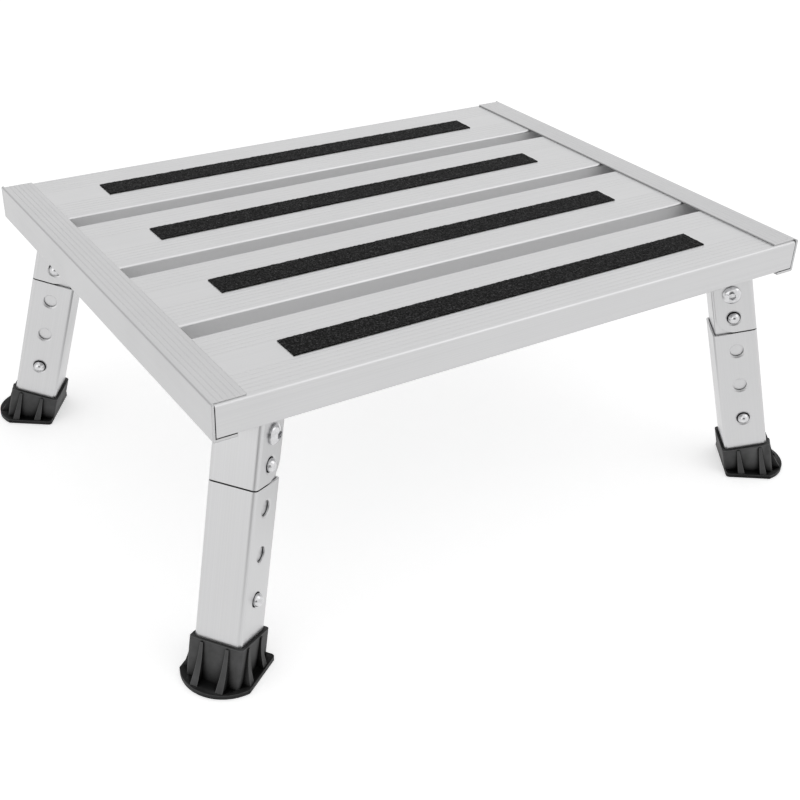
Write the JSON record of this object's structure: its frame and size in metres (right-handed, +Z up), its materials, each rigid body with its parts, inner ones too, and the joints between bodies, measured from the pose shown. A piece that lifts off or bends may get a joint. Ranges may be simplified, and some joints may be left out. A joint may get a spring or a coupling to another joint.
{
  "type": "caravan entry step",
  "caption": "Folding aluminium entry step: slatted platform with grit strips on splayed telescopic legs that fold under it and lock with spring buttons.",
  "frame": {"origin": "on the ground under the middle of the platform, with the legs at their shortest setting", "axes": "+X along the slats to the right, +Y to the back, +Z up"},
  "size_m": [0.534, 0.427, 0.2],
  "materials": {
    "slat_aluminium": "satin",
    "channel_aluminium": "satin",
    "leg_aluminium": "satin",
    "rivet_aluminium": "satin",
    "plated_steel": "polished",
    "spring_steel": "satin",
    "grit": "rough grit",
    "foot_rubber": "matte"
  },
  "bodies": {
    "platform": {"tread_slat_1": "slat_aluminium", "grip_strip_1": "grit", "tread_slat_2": "slat_aluminium", "grip_strip_2": "grit", "tread_slat_3": "slat_aluminium", "grip_strip_3": "grit", "tread_slat_4": "slat_aluminium", "grip_strip_4": "grit", "end_channel_left": "channel_aluminium", "end_channel_right": "channel_aluminium", "slat_rivets": "rivet_aluminium", "bracket_rivets": "rivet_aluminium", "pivot_bolts": "plated_steel", "pivot_nuts": "plated_steel", "leg_bracket_front_left": "leg_aluminium", "leg_bracket_front_right": "leg_aluminium", "leg_bracket_rear_left": "leg_aluminium", "leg_bracket_rear_right": "leg_aluminium"},
    "upper_leg_front_left": {"inner_tube_front_left": "leg_aluminium", "fold_clip_front_left": "spring_steel", "height_clip_front_left": "spring_steel"},
    "lower_leg_front_left": {"lower_tube_front_left": "leg_aluminium", "foot_front_left": "foot_rubber"},
    "fold_button_front_left_fore": {"fold_button_front_left_fore": "plated_steel"},
    "fold_button_front_left_aft": {"fold_button_front_left_aft": "plated_steel"},
    "height_button_front_left_fore": {"height_button_front_left_fore": "plated_steel"},
    "height_button_front_left_aft": {"height_button_front_left_aft": "plated_steel"},
    "upper_leg_front_right": {"inner_tube_front_right": "leg_aluminium", "fold_clip_front_right": "spring_steel", "height_clip_front_right": "spring_steel"},
    "lower_leg_front_right": {"lower_tube_front_right": "leg_aluminium", "foot_front_right": "foot_rubber"},
    "fold_button_front_right_fore": {"fold_button_front_right_fore": "plated_steel"},
    "fold_button_front_right_aft": {"fold_button_front_right_aft": "plated_steel"},
    "height_button_front_right_fore": {"height_button_front_right_fore": "plated_steel"},
    "height_button_front_right_aft": {"height_button_front_right_aft": "plated_steel"},
    "upper_leg_rear_left": {"inner_tube_rear_left": "leg_aluminium", "fold_clip_rear_left": "spring_steel", "height_clip_rear_left": "spring_steel"},
    "lower_leg_rear_left": {"lower_tube_rear_left": "leg_aluminium", "foot_rear_left": "foot_rubber"},
    "fold_button_rear_left_fore": {"fold_button_rear_left_fore": "plated_steel"},
    "fold_button_rear_left_aft": {"fold_button_rear_left_aft": "plated_steel"},
    "height_button_rear_left_fore": {"height_button_rear_left_fore": "plated_steel"},
    "height_button_rear_left_aft": {"height_button_rear_left_aft": "plated_steel"},
    "upper_leg_rear_right": {"inner_tube_rear_right": "leg_aluminium", "fold_clip_rear_right": "spring_steel", "height_clip_rear_right": "spring_steel"},
    "lower_leg_rear_right": {"lower_tube_rear_right": "leg_aluminium", "foot_rear_right": "foot_rubber"},
    "fold_button_rear_right_fore": {"fold_button_rear_right_fore": "plated_steel"},
    "fold_button_rear_right_aft": {"fold_button_rear_right_aft": "plated_steel"},
    "height_button_rear_right_fore": {"height_button_rear_right_fore": "plated_steel"},
    "height_button_rear_right_aft": {"height_button_rear_right_aft": "plated_steel"}
  },
  "joints": [
    {"name": "fold_front_left", "type": "hinge", "parent": "platform", "child": "upper_leg_front_left", "pos_m": [-0.2037, -0.16005, 0.159], "axis": [0.5764, -0.8171, 0], "range_deg": [0, 103], "deforming": ["fold_clip_front_left", "fold_button_front_left_fore", "fold_button_front_left_aft"]},
    {"name": "extend_front_left", "type": "slide", "parent": "upper_leg_front_left", "child": "lower_leg_front_left", "axis": [-0.2046, -0.1443, -0.9681], "range_m": [0, 0.0623], "deforming": ["height_clip_front_left", "height_button_front_left_fore", "height_button_front_left_aft"]},
    {"name": "press_fold_button_front_left_fore", "type": "slide", "parent": "upper_leg_front_left", "child": "fold_button_front_left_fore", "axis": [-0.5764, 0.8171, 0], "range_m": [0, 0.006], "stiffness_N_per_m": 1000, "springref_m": -0.003, "deforming": ["fold_clip_front_left"]},
    {"name": "press_fold_button_front_left_aft", "type": "slide", "parent": "upper_leg_front_left", "child": "fold_button_front_left_aft", "axis": [0.5764, -0.8171, 0], "range_m": [0, 0.006], "stiffness_N_per_m": 1000, "springref_m": -0.003, "deforming": ["fold_clip_front_left"]},
    {"name": "press_height_button_front_left_fore", "type": "slide", "parent": "upper_leg_front_left", "child": "height_button_front_left_fore", "axis": [-0.5764, 0.8171, 0], "range_m": [0, 0.006], "stiffness_N_per_m": 1000, "springref_m": -0.003, "deforming": ["height_clip_front_left"]},
    {"name": "press_height_button_front_left_aft", "type": "slide", "parent": "upper_leg_front_left", "child": "height_button_front_left_aft", "axis": [0.5764, -0.8171, 0], "range_m": [0, 0.006], "stiffness_N_per_m": 1000, "springref_m": -0.003, "deforming": ["height_clip_front_left"]},
    {"name": "fold_front_right", "type": "hinge", "parent": "platform", "child": "upper_leg_front_right", "pos_m": [0.2037, -0.16005, 0.159], "axis": [0.5764, 0.8171, 0], "range_deg": [0, 103], "deforming": ["fold_clip_front_right", "fold_button_front_right_fore", "fold_button_front_right_aft"]},
    {"name": "extend_front_right", "type": "slide", "parent": "upper_leg_front_right", "child": "lower_leg_front_right", "axis": [0.2046, -0.1443, -0.9681], "range_m": [0, 0.0623], "deforming": ["height_clip_front_right", "height_button_front_right_fore", "height_button_front_right_aft"]},
    {"name": "press_fold_button_front_right_fore", "type": "slide", "parent": "upper_leg_front_right", "child": "fold_button_front_right_fore", "axis": [0.5764, 0.8171, 0], "range_m": [0, 0.006], "stiffness_N_per_m": 1000, "springref_m": -0.003, "deforming": ["fold_clip_front_right"]},
    {"name": "press_fold_button_front_right_aft", "type": "slide", "parent": "upper_leg_front_right", "child": "fold_button_front_right_aft", "axis": [-0.5764, -0.8171, 0], "range_m": [0, 0.006], "stiffness_N_per_m": 1000, "springref_m": -0.003, "deforming": ["fold_clip_front_right"]},
    {"name": "press_height_button_front_right_fore", "type": "slide", "parent": "upper_leg_front_right", "child": "height_button_front_right_fore", "axis": [0.5764, 0.8171, 0], "range_m": [0, 0.006], "stiffness_N_per_m": 1000, "springref_m": -0.003, "deforming": ["height_clip_front_right"]},
    {"name": "press_height_button_front_right_aft", "type": "slide", "parent": "upper_leg_front_right", "child": "height_button_front_right_aft", "axis": [-0.5764, -0.8171, 0], "range_m": [0, 0.006], "stiffness_N_per_m": 1000, "springref_m": -0.003, "deforming": ["height_clip_front_right"]},
    {"name": "fold_rear_left", "type": "hinge", "parent": "platform", "child": "upper_leg_rear_left", "pos_m": [-0.2037, 0.16005, 0.159], "axis": [-0.5764, -0.8171, 0], "range_deg": [0, 103], "deforming": ["fold_clip_rear_left", "fold_button_rear_left_fore", "fold_button_rear_left_aft"]},
    {"name": "extend_rear_left", "type": "slide", "parent": "upper_leg_rear_left", "child": "lower_leg_rear_left", "axis": [-0.2046, 0.1443, -0.9681], "range_m": [0, 0.0623], "deforming": ["height_clip_rear_left", "height_button_rear_left_fore", "height_button_rear_left_aft"]},
    {"name": "press_fold_button_rear_left_fore", "type": "slide", "parent": "upper_leg_rear_left", "child": "fold_button_rear_left_fore", "axis": [0.5764, 0.8171, 0], "range_m": [0, 0.006], "stiffness_N_per_m": 1000, "springref_m": -0.003, "deforming": ["fold_clip_rear_left"]},
    {"name": "press_fold_button_rear_left_aft", "type": "slide", "parent": "upper_leg_rear_left", "child": "fold_button_rear_left_aft", "axis": [-0.5764, -0.8171, 0], "range_m": [0, 0.006], "stiffness_N_per_m": 1000, "springref_m": -0.003, "deforming": ["fold_clip_rear_left"]},
    {"name": "press_height_button_rear_left_fore", "type": "slide", "parent": "upper_leg_rear_left", "child": "height_button_rear_left_fore", "axis": [0.5764, 0.8171, 0], "range_m": [0, 0.006], "stiffness_N_per_m": 1000, "springref_m": -0.003, "deforming": ["height_clip_rear_left"]},
    {"name": "press_height_button_rear_left_aft", "type": "slide", "parent": "upper_leg_rear_left", "child": "height_button_rear_left_aft", "axis": [-0.5764, -0.8171, 0], "range_m": [0, 0.006], "stiffness_N_per_m": 1000, "springref_m": -0.003, "deforming": ["height_clip_rear_left"]},
    {"name": "fold_rear_right", "type": "hinge", "parent": "platform", "child": "upper_leg_rear_right", "pos_m": [0.2037, 0.16005, 0.159], "axis": [-0.5764, 0.8171, 0], "range_deg": [0, 103], "deforming": ["fold_clip_rear_right", "fold_button_rear_right_fore", "fold_button_rear_right_aft"]},
    {"name": "extend_rear_right", "type": "slide", "parent": "upper_leg_rear_right", "child": "lower_leg_rear_right", "axis": [0.2046, 0.1443, -0.9681], "range_m": [0, 0.0623], "deforming": ["height_clip_rear_right", "height_button_rear_right_fore", "height_button_rear_right_aft"]},
    {"name": "press_fold_button_rear_right_fore", "type": "slide", "parent": "upper_leg_rear_right", "child": "fold_button_rear_right_fore", "axis": [-0.5764, 0.8171, 0], "range_m": [0, 0.006], "stiffness_N_per_m": 1000, "springref_m": -0.003, "deforming": ["fold_clip_rear_right"]},
    {"name": "press_fold_button_rear_right_aft", "type": "slide", "parent": "upper_leg_rear_right", "child": "fold_button_rear_right_aft", "axis": [0.5764, -0.8171, 0], "range_m": [0, 0.006], "stiffness_N_per_m": 1000, "springref_m": -0.003, "deforming": ["fold_clip_rear_right"]},
    {"name": "press_height_button_rear_right_fore", "type": "slide", "parent": "upper_leg_rear_right", "child": "height_button_rear_right_fore", "axis": [-0.5764, 0.8171, 0], "range_m": [0, 0.006], "stiffness_N_per_m": 1000, "springref_m": -0.003, "deforming": ["height_clip_rear_right"]},
    {"name": "press_height_button_rear_right_aft", "type": "slide", "parent": "upper_leg_rear_right", "child": "height_button_rear_right_aft", "axis": [0.5764, -0.8171, 0], "range_m": [0, 0.006], "stiffness_N_per_m": 1000, "springref_m": -0.003, "deforming": ["height_clip_rear_right"]}
  ]
}
